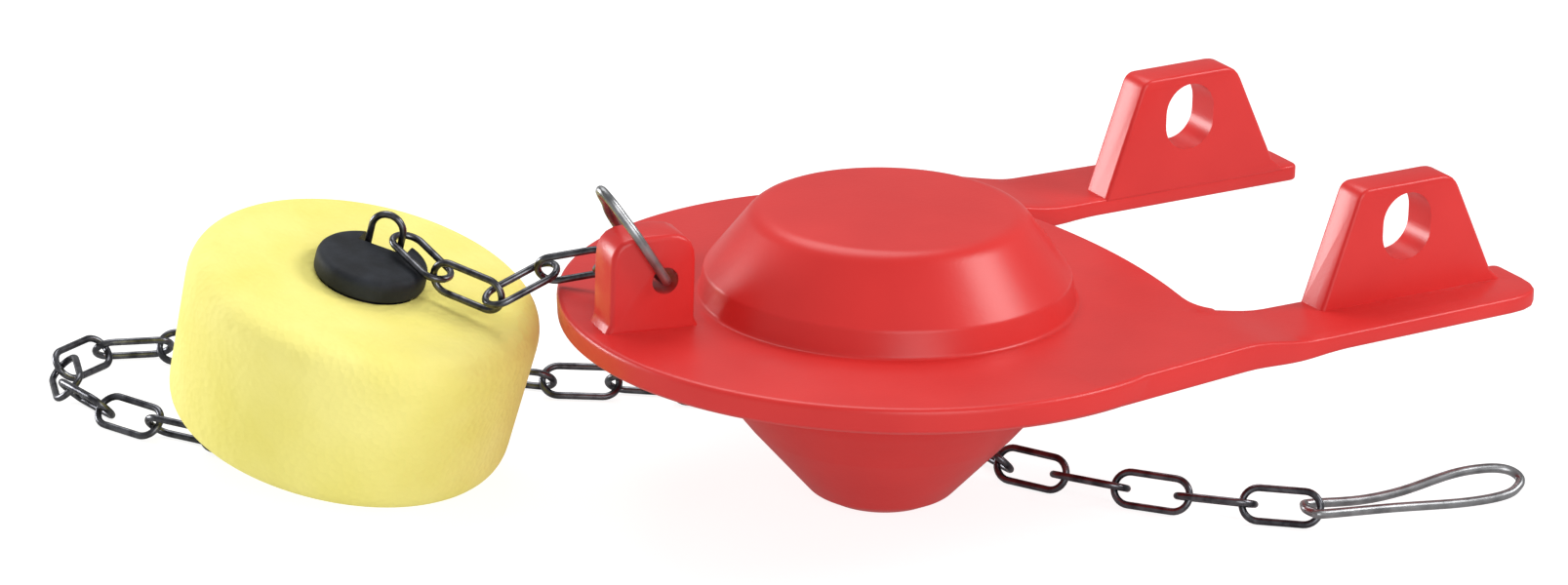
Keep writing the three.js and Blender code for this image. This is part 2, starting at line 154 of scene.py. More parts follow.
def mouldedRubber(finish):
    material, tree = newMaterial("mouldedRubber")
    place = addNode(tree, "ShaderNodeTexCoord").outputs["Object"]
    cloud = addNode(tree, "ShaderNodeTexNoise", inputs={
        "Vector": place, "Scale": scaleFor(finish["cloudMm"])})
    colour = addNode(tree, "ShaderNodeValToRGB", stops=finish["colours"], inputs={
        "Fac": cloud.outputs["Fac"]})
    wave = addNode(tree, "ShaderNodeTexNoise", inputs={
        "Vector": place, "Scale": scaleFor(finish["waveMm"])})
    grain = addNode(tree, "ShaderNodeTexNoise", inputs={
        "Vector": place, "Scale": scaleFor(finish["grainMm"]), "Detail": fineDetail})
    soft = addNode(tree, "ShaderNodeBump", inputs={
        "Height": wave.outputs["Fac"], "Strength": 1, "Distance": finish["waveDepthMm"] * mm})
    fine = addNode(tree, "ShaderNodeBump", inputs={
        "Height": grain.outputs["Fac"], "Strength": 1, "Distance": finish["grainDepthMm"] * mm,
        "Normal": soft.outputs["Normal"]})
    shader = addNode(tree, "ShaderNodeBsdfPrincipled", inputs={
        "Base Color": colour.outputs["Color"], "Roughness": finish["roughness"], "IOR": finish["ior"],
        "Normal": fine.outputs["Normal"]})
    addNode(tree, "ShaderNodeOutputMaterial", inputs={"Surface": shader.outputs["BSDF"]})
    return material


# closed-cell polyethylene foam: pale yellow, matt, with fine cut cells and shallow dents
foamFinish = {
    "cloudMm": 12, "colours": [(0.3, "#EDE277"), (0.7, "#F6EC8C")],
    "cellMm": 0.9, "cellDepthMm": 0.1,
    "dentMm": 5, "dentDepthMm": 0.25,
    "roughness": 0.9,
}


def closedCellFoam(finish):
    material, tree = newMaterial("closedCellFoam")
    place = addNode(tree, "ShaderNodeTexCoord").outputs["Object"]
    cloud = addNode(tree, "ShaderNodeTexNoise", inputs={
        "Vector": place, "Scale": scaleFor(finish["cloudMm"]), "Detail": fineDetail})
    colour = addNode(tree, "ShaderNodeValToRGB", stops=finish["colours"], inputs={
        "Fac": cloud.outputs["Fac"]})
    cells = addNode(tree, "ShaderNodeTexVoronoi", inputs={
        "Vector": place, "Scale": scaleFor(finish["cellMm"])})
    dents = addNode(tree, "ShaderNodeTexNoise", inputs={
        "Vector": place, "Scale": scaleFor(finish["dentMm"])})
    soft = addNode(tree, "ShaderNodeBump", inputs={
        "Height": dents.outputs["Fac"], "Strength": 1, "Distance": finish["dentDepthMm"] * mm})
    fine = addNode(tree, "ShaderNodeBump", inputs={
        "Height": cells.outputs["Distance"], "Strength": 1, "Distance": finish["cellDepthMm"] * mm,
        "Normal": soft.outputs["Normal"]})
    shader = addNode(tree, "ShaderNodeBsdfPrincipled", inputs={
        "Base Color": colour.outputs["Color"], "Roughness": finish["roughness"],
        "Normal": fine.outputs["Normal"]})
    addNode(tree, "ShaderNodeOutputMaterial", inputs={"Surface": shader.outputs["BSDF"]})
    return material


# injection-moulded polypropylene: blue-black, dull, with a weak sheen
plugFinish = {
    "cloudMm": 3, "colours": [(0.35, "#15181D"), (0.65, "#23272E")],
    "grainMm": 0.5, "grainDepthMm": 0.03,  # the mould's grain, as coarse as it needs to show
    "roughness": 0.66, "ior": 1.38,
}


def mouldedPolypropylene(finish):
    material, tree = newMaterial("mouldedPolypropylene")
    place = addNode(tree, "ShaderNodeTexCoord").outputs["Object"]
    cloud = addNode(tree, "ShaderNodeTexNoise", inputs={
        "Vector": place, "Scale": scaleFor(finish["cloudMm"]), "Detail": fineDetail})
    colour = addNode(tree, "ShaderNodeValToRGB", stops=finish["colours"], inputs={
        "Fac": cloud.outputs["Fac"]})
    grain = addNode(tree, "ShaderNodeTexNoise", inputs={
        "Vector": place, "Scale": scaleFor(finish["grainMm"]), "Detail": fineDetail})
    fine = addNode(tree, "ShaderNodeBump", inputs={
        "Height": grain.outputs["Fac"], "Strength": 1, "Distance": finish["grainDepthMm"] * mm})
    shader = addNode(tree, "ShaderNodeBsdfPrincipled", inputs={
        "Base Color": colour.outputs["Color"], "Roughness": finish["roughness"], "IOR": finish["ior"],
        "Normal": fine.outputs["Normal"]})
    addNode(tree, "ShaderNodeOutputMaterial", inputs={"Surface": shader.outputs["BSDF"]})
    return material


# drawn stainless steel wire: grey, with dull and bright patches at random
# the chain's steel is kept dark grey: a painted reflection, standing in for the dark surroundings that the
# links mirror
chainFinish = {
    "name": "stainlessWireWithPaintedReflection", "colours": [(0.35, "#45454A"), (0.65, "#75767B")],
    "patchMm": 1.6, "roughness": 0.3,
}
hookFinish = {
    "name": "brightStainlessWire", "colours": [(0.35, "#858688"), (0.65, "#ACADAF")],
    "patchMm": 2.4, "roughness": 0.36,
}


def stainlessWire(finish):
    material, tree = newMaterial(finish["name"])
    place = addNode(tree, "ShaderNodeTexCoord").outputs["Object"]
    patches = addNode(tree, "ShaderNodeTexNoise", inputs={
        "Vector": place, "Scale": scaleFor(finish["patchMm"]), "Detail": fineDetail})
    colour = addNode(tree, "ShaderNodeValToRGB", stops=finish["colours"], inputs={
        "Fac": patches.outputs["Fac"]})
    shader = addNode(tree, "ShaderNodeBsdfPrincipled", inputs={
        "Base Color": colour.outputs["Color"], "Metallic": 1.0, "Roughness": finish["roughness"]})
    addNode(tree, "ShaderNodeOutputMaterial", inputs={"Surface": shader.outputs["BSDF"]})
    return material


redRubber = mouldedRubber(rubberFinish)
yellowFoam = closedCellFoam(foamFinish)
blackPlastic = mouldedPolypropylene(plugFinish)
chainWire = stainlessWire(chainFinish)
hookWire = stainlessWire(hookFinish)
print("materials made")


# meshes: pieces are drawn in millimetres about the disc's axis
edgeShare = 0.49  # the most of an edge that the round at one end takes
mergeDistance = 0.0005
tiny = 1e-6
bevelSteps = 3
wireSides = 14
sharpAngle = 32  # degrees past which an edge is shaded sharp
rootDepth = 0.5  # how far the ears and the lug reach into what carries them


# the outline through points (x, y, radius), with its corners rounded
def roundedPath(points, steps=5, closed=False):
    path = []
    count = len(points)
    for index, (x, y, radius) in enumerate(points):
        corner = Vector((x, y))
        if radius == 0 or (not closed and index in (0, count - 1)):
            path.append(corner)
            continue
        before = Vector(points[index - 1][:2]) - corner
        after = Vector(points[(index + 1) % count][:2]) - corner
        opening = before.angle(after)
        reach = min(radius / math.tan(opening / 2), before.length * edgeShare, after.length * edgeShare)
        start = corner + before.normalized() * reach
        end = corner + after.normalized() * reach
        for step in range(steps + 1):
            t = step / steps
            path.append(start * (1 - t) ** 2 + corner * 2 * t * (1 - t) + end * t ** 2)
    return path


def meshFrom(build):
    bm = bmesh.new()
    build(bm)
    bmesh.ops.remove_doubles(bm, verts=bm.verts, dist=mergeDistance)
    bmesh.ops.recalc_face_normals(bm, faces=bm.faces)
    mesh = bpy.data.meshes.new("draft")
    bm.to_mesh(mesh)
    bm.free()
    return mesh


# turns a path that starts and ends on the axis
def lathe(path, segments):
    angles = [2 * math.pi * k / segments for k in range(segments)]

    def build(bm):
        rings = []
        for point in path:
            if point.x < tiny:
                rings.append([bm.verts.new((0, 0, point.y))])
                continue
            circle = [(point.x * math.cos(a), point.x * math.sin(a), point.y) for a in angles]
            rings.append([bm.verts.new(place) for place in circle])
        for low, high in zip(rings, rings[1:]):
            for k in range(segments):
                n = k + 1
                corners = [low[k % len(low)], low[n % len(low)], high[n % len(high)], high[k % len(high)]]
                unique = list(dict.fromkeys(corners))
                if len(unique) > 2:
                    bm.faces.new(unique)
    return meshFrom(build)


# a flat plate about z = 0 with its edges rounded
def plate(outline, thickness, edge=0):
    def build(bm):
        face = bm.faces.new([bm.verts.new((p.x, p.y, -thickness / 2)) for p in outline])
        raised = bmesh.ops.extrude_face_region(bm, geom=[face])
        verts = [item for item in raised["geom"] if isinstance(item, bmesh.types.BMVert)]
        bmesh.ops.translate(bm, verts=verts, vec=(0, 0, thickness))
        rims = [e for e in bm.edges if abs(e.verts[0].co.z - e.verts[1].co.z) < tiny]
        if edge > 0:
            bmesh.ops.bevel(bm, geom=rims, offset=edge, segments=bevelSteps, profile=0.5, affect="EDGES")
    return meshFrom(build)


def standingPlate(outline, thickness, edge=0):
    mesh = plate(outline, thickness, edge)
    mesh.transform(Matrix.Rotation(math.pi / 2, 4, "X"))
    return mesh


def box(low, high):
    outline = [Vector(corner) for corner in (
        (low[0], low[1]), (high[0], low[1]), (high[0], high[1]), (low[0], high[1]))]
    mesh = plate(outline, high[2] - low[2])
    mesh.transform(Matrix.Translation((0, 0, (low[2] + high[2]) / 2)))
    return mesh


# the mesh that an object's modifiers give
def finishedMesh(piece):
    bpy.context.view_layer.update()
    return bpy.data.meshes.new_from_object(piece.evaluated_get(bpy.context.evaluated_depsgraph_get()))


# joins meshes to a base or cuts them from it, each given with its operation
def combine(base, others):
    bench = []
    for mesh in [base] + [mesh for mesh, _ in others]:
        piece = bpy.data.objects.new("draft", mesh)
        bpy.context.scene.collection.objects.link(piece)
        bench.append(piece)
    for tool, (_, operation) in zip(bench[1:], others):
        step = bench[0].modifiers.new("step", "BOOLEAN")
        step.operation = operation
        step.object = tool
        step.solver = "EXACT"
    result = finishedMesh(bench[0])
    for piece in bench:
        bpy.data.objects.remove(piece)
    return result


def placePiece(name, mesh, material, body, replaced):
    mesh.transform(Matrix.Translation(flapperAxis) @ Matrix.Scale(mm, 4))
    mesh.materials.clear()
    mesh.materials.append(material)
    mesh.shade_smooth()
    mesh.set_sharp_from_angle(angle=math.radians(sharpAngle))
    piece = bpy.data.objects.new(name, mesh)
    bpy.context.scene.collection.objects.link(piece)
    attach(piece, body)
    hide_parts(*replaced)


# flapper body: one moulding of disc, dome, bulb, arms, ears and lug
valve = {
    "discTop": 26, "segments": 160,
    "profile": [
        (0, 37.3, 0), (16.6, 37.3, 3.4), (22.6, 29.4, 1.2), (23.2, 26, 0.6),  # dome
        (discRadius, 26, 0.8), (40.3, 23.1, 0.6), (39.5, 22.5, 0.4), (35.6, 22.5, 0.3),  # disc and rim
        (35, 22.1, 0.3), (33.8, 22.1, 0.4), (33, 23.5, 0.4), (25.4, 23.5, 1.4),  # sealing lip
        (21.2, 15.2, 12), (16.6, 9.6, 8), (8.9, 1.2, 3), (6.5, 0, 1.2),  # bulb and foot
        (3, 0, 0.4), (3, 2.2, 0.5), (6.6, 3.4, 2), (13.9, 10.2, 4), (19.4, 16, 4),  # vent and hollow
        (20.8, 23, 3), (20.8, 28, 2), (15, 34, 3), (13, 35.1, 1), (0, 35.1, 0),
    ],
}
arms = {
    "top": 24.4, "thickness": 2.1, "length": 76.4, "inner": 21.5, "outer": 32.8, "edge": 0.4,
    "root": 39.7, "rootX": 4, "innerRootX": 23, "middle": 34.2, "middleX": 40, "middleRound": 20,
    "outerCorner": 11, "innerCorner": 1.2,
    "fallStart": 29, "fallEnd": 41,
    "rootThickness": 3.4, "lipInner": 35.6, "lipOuter": 39.5, "taperStart": 29, "taperEnd": 46,
    "rimBlend": 12, "rimSink": 1.04,
    "bendStart": 8, "bendEnd": 47, "bendStep": 1.5, "sideStart": 24, "sideEnd": 38, "sideStep": 2,
    "backEdge": 34.2, "backBow": 2.6, "backRound": 120, "backCorner": 4,
    "cutPast": 10, "cutDepth": 10, "cutSink": 1,
}
ears = {
    "thickness": 4.8, "front": 46.6, "base": 26.3, "height": 14.9, "topFront": 5.4, "topLength": 13.9,
    "frontCorner": 1.8, "rearCorner": 3, "foot": 1.4, "footRound": 1.4, "edge": 0.5, "centre": 23.75,
    "eyeRadius": 3.6, "eyeSlot": 1.5, "eyeX": 59, "eyeZ": 33.6, "eyeSteps": 20,
}
lug = {
    "length": 11, "thickness": 6, "height": 12, "reach": 32, "bearing": 10, "topCorner": 3.6, "edge": 0.7,
    "footSpread": 0.8, "footHeight": 1, "footRound": 1.5,
    "holeRadius": 1.7, "holeX": 1.5, "holeZ": 6.2, "holeSides": 24,
}


def smoothStep(value, low, high):
    t = min(1, max(0, (value - low) / (high - low)))
    return t * t * (3 - 2 * t)


# lowers the points of a mesh, which is first divided at the given places so that it can bend
def bendDown(mesh, drop, cuts):
    bm = bmesh.new()
    bm.from_mesh(mesh)
    for axis, places in cuts:
        normal = Vector((axis == "X", axis == "Y", 0))
        for place in places:
            parts = bm.verts[:] + bm.edges[:] + bm.faces[:]
            bmesh.ops.bisect_plane(bm, geom=parts, plane_co=normal * float(place), plane_no=normal)
    for vert in bm.verts:
        vert.co.z = round(vert.co.z - drop(vert.co), 4)
    bm.to_mesh(mesh)
    bm.free()


def fallAt(x):
    return (valve["discTop"] - arms["top"]) * smoothStep(x, arms["fallStart"], arms["fallEnd"])


# an arm falls to the level of its ear, and is as deep as the rim where it leaves the disc
def armDrop(point):
    if point.z > valve["discTop"] - arms["thickness"] / 2:
        return fallAt(point.x)
    pastLip = smoothStep(math.hypot(point.x, point.y), arms["lipInner"], arms["lipOuter"])
    taper = 1 - smoothStep(point.x, arms["taperStart"], arms["taperEnd"])
    return fallAt(point.x) + (arms["rootThickness"] - arms["thickness"]) * pastLip * taper


# the top of the disc sinks a little below the arms where they leave it, so that no edge of it stands proud
def rimDrop(point):
    if point.z < valve["discTop"] - arms["thickness"] / 2:
        return 0
    return arms["rimSink"] * smoothStep(abs(point.y), arms["rimBlend"], arms["inner"]) * fallAt(point.x)


def armPlate(side):
    outline = roundedPath([
        (arms["rootX"], side * arms["root"], 0),
        (arms["middleX"], side * arms["middle"], arms["middleRound"]),
        (arms["length"], side * arms["outer"], arms["outerCorner"]),
        (arms["length"], side * arms["inner"], arms["innerCorner"]),
        (arms["innerRootX"], side * arms["inner"], 0),
    ], closed=True)
    mesh = plate(outline, arms["thickness"], arms["edge"])
    mesh.transform(Matrix.Translation((0, 0, valve["discTop"] - arms["thickness"] / 2)))
    along = np.arange(arms["bendStart"], arms["bendEnd"], arms["bendStep"])
    across = side * np.arange(arms["sideStart"], arms["sideEnd"], arms["sideStep"])
    bendDown(mesh, armDrop, [("X", along), ("Y", across)])
    return mesh


# an oval eye: two half rounds with a short straight stretch between them
def earEye():
    radius = ears["eyeRadius"]
    half = ears["eyeSlot"] / 2
    turns = [math.pi * k / ears["eyeSteps"] for k in range(ears["eyeSteps"] + 1)]
    outline = [Vector((radius * math.cos(a), half + radius * math.sin(a))) for a in turns]
    outline += [-point for point in outline]
    return standingPlate(outline, ears["thickness"] * 2)


def earPlate(side):
    base = arms["top"] - rootDepth
    top = arms["top"] + ears["height"]
    front = ears["front"]
    back = front + ears["base"]
    foot = ears["foot"]
    outline = roundedPath([
        (front, base, 0), (back + foot, base, 0),
        (back - foot / 2, arms["top"] + foot, foot * ears["footRound"]),
        (front + ears["topFront"] + ears["topLength"], top, ears["rearCorner"]),
        (front + ears["topFront"], top, ears["frontCorner"]),
    ], closed=True)
    mesh = standingPlate(outline, ears["thickness"], ears["edge"])
    eye = earEye()
    eye.transform(Matrix.Translation((ears["eyeX"], 0, ears["eyeZ"])))
    mesh = combine(mesh, [(eye, "DIFFERENCE")])
    mesh.transform(Matrix.Translation((0, side * ears["centre"], 0)))
    return mesh


def lugHole():
    turns = [2 * math.pi * k / lug["holeSides"] for k in range(lug["holeSides"])]
    outline = [Vector((lug["holeRadius"] * math.cos(a), lug["holeRadius"] * math.sin(a))) for a in turns]
    mesh = standingPlate(outline, lug["thickness"] * 2)
    mesh.transform(Matrix.Translation((lug["holeX"], 0, valve["discTop"] + lug["holeZ"])))
    return mesh


def lugPlate():
    half = lug["length"] / 2
    base = valve["discTop"] - rootDepth
    foot = valve["discTop"] + lug["footHeight"]
    top = valve["discTop"] + lug["height"]
    outline = roundedPath([
        (-half - lug["footSpread"], base, 0), (half + lug["footSpread"], base, 0),
        (half, foot, lug["footRound"]), (half, top, lug["topCorner"]),
        (-half, top, lug["topCorner"]), (-half, foot, lug["footRound"]),
    ], closed=True)
    mesh = standingPlate(outline, lug["thickness"], lug["edge"])
    mesh = combine(mesh, [(lugHole(), "DIFFERENCE")])
    bearing = Matrix.Rotation(math.radians(-lug["bearing"]), 4, "Z")
    mesh.transform(bearing @ Matrix.Translation((-lug["reach"], 0, 0)))
    return mesh


# what is cut from the disc between the arms: its edge there is a shallow bow
def backCut():
    inner = arms["inner"]
    past = discRadius + arms["cutPast"]
    corner = arms["backEdge"] - arms["backBow"]
    outline = roundedPath([
        (arms["backEdge"], 0, arms["backRound"]), (corner, -inner, arms["backCorner"]), (past, -inner, 0),
        (past, inner, 0), (corner, inner, arms["backCorner"]),
    ], steps=10, closed=True)
    mesh = plate(outline, arms["cutDepth"])
    mesh.transform(Matrix.Translation((0, 0, valve["discTop"] - arms["cutSink"])))
    return mesh


disc = lathe(roundedPath(valve["profile"]), valve["segments"])
bendDown(disc, rimDrop, [("X", np.arange(arms["fallStart"], arms["fallEnd"], arms["bendStep"]))])
plateBody = combine(disc, [(armPlate(1), "UNION"), (armPlate(-1), "UNION"), (backCut(), "DIFFERENCE")])
bodyMesh = combine(plateBody, [(earPlate(1), "UNION"), (earPlate(-1), "UNION"), (lugPlate(), "UNION")])
placePiece("flapperMoulding", bodyMesh, redRubber, "flapper", ["flapper_body"])
print("flapper body made:", len(bodyMesh.polygons), "faces")


# float and plug: the float is tilted about its lower edge, and the plug sits in its bore
foamBlock = {
    "topRadius": 22.3, "baseRadius": 21.2, "height": 21.6, "edge": 3.2, "corner": 4, "segments": 128,
    "tilt": 13.5, "turn": -68.5, "place": (-53.7, 41.3, 0),
    "boreRadius": 6.2, "boreSides": 48, "boreMouth": 2, "mouthRound": 1,
    "topFlare": 1.5, "flareDepth": 0.5, "flareRound": 0.8, "cutPast": 1,
}
plug = {
    "headRadius": 7, "headHeight": 2.8, "headRound": 1.3, "seatRound": 0.4, "gap": 0.3,
    "stemLength": 11, "stemSink": 0.5, "shoulder": 2, "tipTaper": 1.2, "tipRound": 0.5, "segments": 64,
    "stemFace": -0.4, "notchWidth": 6.2, "notchFloor": 2.9, "bearing": 109,
    "cutWidth": 12, "cutReach": 14, "cutPast": 3, "cutRise": 2,
}
lean = foamBlock["baseRadius"] - foamBlock["edge"]
floatFrame = (
    Matrix.Translation(foamBlock["place"])
    @ Matrix.Rotation(math.radians(foamBlock["turn"]), 4, "Z")
    @ Matrix.Translation((lean, 0, foamBlock["edge"]))
    @ Matrix.Rotation(math.radians(foamBlock["tilt"]), 4, "Y")
    @ Matrix.Translation((-lean, 0, -foamBlock["edge"]))
)


def floatBore():
    radius = foamBlock["boreRadius"]
    mouth = foamBlock["boreMouth"]
    past = foamBlock["cutPast"]
    top = foamBlock["height"] + past
    return lathe(roundedPath([
        (0, top, 0), (radius + foamBlock["topFlare"], top, 0),
        (radius, foamBlock["height"] - foamBlock["flareDepth"], foamBlock["flareRound"]),
        (radius, mouth, foamBlock["mouthRound"]), (radius + mouth + past, -past, 0), (0, -past, 0),
    ]), foamBlock["boreSides"])


def floatBlock():
    height = foamBlock["height"]
    block = lathe(roundedPath([
        (0, height, 0), (foamBlock["topRadius"], height, foamBlock["corner"]),
        (foamBlock["baseRadius"], 0, foamBlock["corner"]), (0, 0, 0),
    ], steps=10), foamBlock["segments"])
    return combine(block, [(floatBore(), "DIFFERENCE")])


# a round head and a stem, whose one side is cut flat for the chain, which comes up through the notch
def plugBody():
    seat = foamBlock["height"] + plug["gap"]
    top = seat + plug["headHeight"]
    head = plug["headRadius"]
    stem = foamBlock["boreRadius"] - plug["gap"]
    foot = seat - plug["stemLength"]
    sunk = seat + plug["stemSink"]
    below = foot - plug["cutPast"]
    headMesh = lathe(roundedPath([
        (0, top, 0), (head, top, plug["headRound"]), (head, seat, plug["seatRound"]), (0, seat, 0),
    ]), plug["segments"])
    stemMesh = lathe(roundedPath([
        (0, sunk, 0), (stem, sunk, 0), (stem, foot + plug["shoulder"], plug["shoulder"]),
        (stem - plug["tipTaper"], foot, plug["tipRound"]), (0, foot, 0),
    ]), plug["segments"])
    chainWay = box(
        (-plug["cutWidth"], plug["stemFace"], below),
        (plug["cutWidth"], plug["cutReach"], seat + plug["cutRise"]))
    notch = box(
        (-plug["notchWidth"] / 2, plug["notchFloor"], below),
        (plug["notchWidth"] / 2, plug["cutReach"], top + plug["cutPast"]))
    stemMesh = combine(stemMesh, [(chainWay, "DIFFERENCE")])
    mesh = combine(headMesh, [(stemMesh, "UNION"), (notch, "DIFFERENCE")])
    mesh.transform(Matrix.Rotation(math.radians(plug["bearing"] - 90), 4, "Z"))
    return mesh


floatMesh = floatBlock()
floatMesh.transform(floatFrame)
placePiece("foamFloat", floatMesh, yellowFoam, "flapper", ["float"])
plugMesh = plugBody()
plugMesh.transform(floatFrame)
placePiece("floatPlug", plugMesh, blackPlastic, "flapper", ["float_plug"])
print("float and plug made")


# wire loops: a round wire swept along a smooth closed way through its bends
def smoothLoop(points, steps=6):
    way = []
    count = len(points)
    for index in range(count):
        p0, p1, p2, p3 = (Vector(points[(index + k) % count]) for k in (-1, 0, 1, 2))
        for step in range(steps):
            t = step / steps
            way.append(0.5 * (2 * p1 + (p2 - p0) * t + (2 * p0 - 5 * p1 + 4 * p2 - p3) * t ** 2
                              + (3 * p1 - p0 - 3 * p2 + p3) * t ** 3))
    return way


def sweepLoop(way, radius):
    count = len(way)
    tangents = [(way[(k + 1) % count] - way[k - 1]).normalized() for k in range(count)]
    side = tangents[0].orthogonal().normalized()
    frames = []
    for tangent in tangents:
        side = (side - tangent * side.dot(tangent)).normalized()
        frames.append((side.copy(), tangent.cross(side)))
    last = (side - tangents[0] * side.dot(tangents[0])).normalized()
    twist = math.atan2(last.dot(frames[0][1]), last.dot(frames[0][0]))

    def build(bm):
        rings = []
        for k, centre in enumerate(way):
            across, over = frames[k]
            angles = [2 * math.pi * s / wireSides - twist * k / count for s in range(wireSides)]
            places = [centre + radius * (across * math.cos(a) + over * math.sin(a)) for a in angles]
            rings.append([bm.verts.new(place) for place in places])
        for k in range(count):
            here = rings[k]
            there = rings[(k + 1) % count]
            for s in range(wireSides):
                n = (s + 1) % wireSides
                bm.faces.new((here[s], here[n], there[n], there[s]))
    return meshFrom(build)


lugClip = {
    "wire": 1.2, "length": 13.4, "tipWidth": 5, "lean": 33, "gap": 0.3, "linkWire": 0.9,
    "holeBends": [(0, 0.9), (0.3, 0.3), (1, 0)],  # along the clip, and in from its side
    "neck": (0.5, 0.3),
    "tipBends": [(0.5, 0.8), (0.12, 0.4)],  # shares of half the tip's width, in from the end and across
}


def clipWay():
    leanTurn = math.radians(lugClip["lean"])
    near = lug["thickness"] / 2 + lugClip["gap"] + lugClip["wire"] / 2
    far = near + lugClip["linkWire"] + lugClip["gap"] * 2
    pastLug = (lug["height"] - lug["holeZ"]) / math.cos(leanTurn) + lugClip["gap"]
    tip = lugClip["tipWidth"] / 2
    length = lugClip["length"]
    neckX, neckY = lugClip["neck"]

    def half(side):
        bends = [(x, side - inset) for x, inset in lugClip["holeBends"]]
        bends += [(pastLug, side), (length - tip - neckX, tip + neckY)]
        bends += [(length - tip * x, tip * y) for x, y in lugClip["tipBends"]]
        return bends

    points = [(0, 0, 0)] + [(x, y, 0) for x, y in half(far)] + [(length, 0, 0)]
    points += [(x, -y, 0) for x, y in reversed(half(near))]
    turn = (Matrix.Rotation(math.radians(-lug["bearing"]), 4, "Z")
            @ Matrix.Translation((lug["holeX"] - lug["reach"], 0, valve["discTop"] + lug["holeZ"]))
            @ Matrix.Rotation(-math.pi / 2 - leanTurn, 4, "Y"))
    return [turn @ Vector(p) for p in points]


endHook = {
    "wire": 1.2, "length": 28.5, "width": 3.8, "rise": 2.8, "turn": -7, "dip": 3.4, "eye": (40.9, -34.6, 2.4),
    "eyeEnd": -1, "eyeBends": [(-0.6, 0.7), (0.4, 1)],  # along the hook, and a share of half its width
    "bends": [  # shares of the hook's length, half width and rise
        (0.35, -0.9, 0), (0.7, -1, 0), (0.9, -1, 0.2), (0.98, -0.6, 0.5), (1, 0, 0.75),
        (0.96, 0.7, 0.95), (0.86, 1, 1), (0.7, 1, 0.85), (0.45, 0.9, 0.25), (0.25, 0.9, 0),
    ],
}


def hookWay():
    half = endHook["width"] / 2
    length = endHook["length"]
    rise = endHook["rise"]
    points = [(endHook["eyeEnd"], 0, 0)]
    points += [(x, -half * y, 0) for x, y in endHook["eyeBends"]]
    points += [(length * x, half * y, rise * z) for x, y, z in endHook["bends"]]
    points += [(x, half * y, 0) for x, y in reversed(endHook["eyeBends"])]
    turn = (Matrix.Translation(endHook["eye"])
            @ Matrix.Rotation(math.radians(endHook["turn"]), 4, "Z")
            @ Matrix.Rotation(math.radians(endHook["dip"]), 4, "Y"))
    return [turn @ Vector(p) for p in points]


clipMesh = sweepLoop(smoothLoop(clipWay()), lugClip["wire"] / 2)
placePiece("lugClipWire", clipMesh, hookWire, "flapper", ["lug_clip"])
hookMesh = sweepLoop(smoothLoop(hookWay()), endHook["wire"] / 2)
placePiece("endHookWire", hookMesh, hookWire, "hook", ["end_hook"])
print("clip and hook made")


# chain: each link stands where its node does, as an instance on a point
chain = {
    "length": 10.6, "width": 5, "wire": 0.9, "cornerSteps": 8,
    "endShare": 0.4999,  # of a link's width, a shade under half so that its corner rounds don't meet
}


# where a node's link stands: its middle, and the turn given by its longest and shortest way
def linkPlace(node):
    corners = np.array([v.co for v in node.data.vertices], float)
    middle = corners.mean(0)
    spread = np.cov((corners - middle).T)
    _, ways = np.linalg.eigh(spread)
    along = Vector(ways[:, 2])
    normal = Vector(ways[:, 0])
    across = normal.cross(along)
    return Vector(middle), Matrix((along, across, normal)).transposed().to_euler()


def linkTree():
    tree = bpy.data.node_groups.new("linkRun", "GeometryNodeTree")
    tree.interface.new_socket("Geometry", in_out="INPUT", socket_type="NodeSocketGeometry")
    for label in ("Link Length", "Link Width", "Wire"):
        tree.interface.new_socket(label, in_out="INPUT", socket_type="NodeSocketFloat")
    tree.interface.new_socket("Finish", in_out="INPUT", socket_type="NodeSocketMaterial")
    tree.interface.new_socket("Geometry", in_out="OUTPUT", socket_type="NodeSocketGeometry")
    given = addNode(tree, "NodeGroupInput").outputs
    centreLength = addNode(tree, "ShaderNodeMath", {"operation": "SUBTRACT"}, {
        0: given["Link Length"], 1: given["Wire"]})
    centreWidth = addNode(tree, "ShaderNodeMath", {"operation": "SUBTRACT"}, {
        0: given["Link Width"], 1: given["Wire"]})
    endRadius = addNode(tree, "ShaderNodeMath", {"operation": "MULTIPLY"}, {
        0: centreWidth.outputs[0], 1: chain["endShare"]})
    wireRadius = addNode(tree, "ShaderNodeMath", {"operation": "MULTIPLY"}, {0: given["Wire"], 1: 0.5})
    frameCurve = addNode(tree, "GeometryNodeCurvePrimitiveQuadrilateral", inputs={
        "Width": centreLength.outputs[0], "Height": centreWidth.outputs[0]})
    rounded = addNode(tree, "GeometryNodeFilletCurve", {"mode": "POLY"}, {
        "Curve": frameCurve.outputs["Curve"], "Count": chain["cornerSteps"], "Radius": endRadius.outputs[0]})
    section = addNode(tree, "GeometryNodeCurvePrimitiveCircle", inputs={
        "Resolution": wireSides, "Radius": wireRadius.outputs[0]})
    ring = addNode(tree, "GeometryNodeCurveToMesh", inputs={
        "Curve": rounded.outputs["Curve"], "Profile Curve": section.outputs["Curve"]})
    turn = addNode(tree, "GeometryNodeInputNamedAttribute", {"data_type": "FLOAT_VECTOR"}, {"Name": "turn"})
    placed = addNode(tree, "GeometryNodeInstanceOnPoints", inputs={
        "Points": given["Geometry"], "Instance": ring.outputs["Mesh"], "Rotation": turn.outputs["Attribute"]})
    real = addNode(tree, "GeometryNodeRealizeInstances", inputs={"Geometry": placed.outputs["Instances"]})
    smooth = addNode(tree, "GeometryNodeSetShadeSmooth", inputs={"Geometry": real.outputs["Geometry"]})
    finished = addNode(tree, "GeometryNodeSetMaterial", inputs={
        "Geometry": smooth.outputs["Geometry"], "Material": given["Finish"]})
    addNode(tree, "NodeGroupOutput", inputs={"Geometry": finished.outputs["Geometry"]})
    return tree


chainTree = linkTree()
chainSockets = [item for item in chainTree.interface.items_tree if item.in_out == "INPUT"]
chainInputs = {socket.name: socket.identifier for socket in chainSockets}


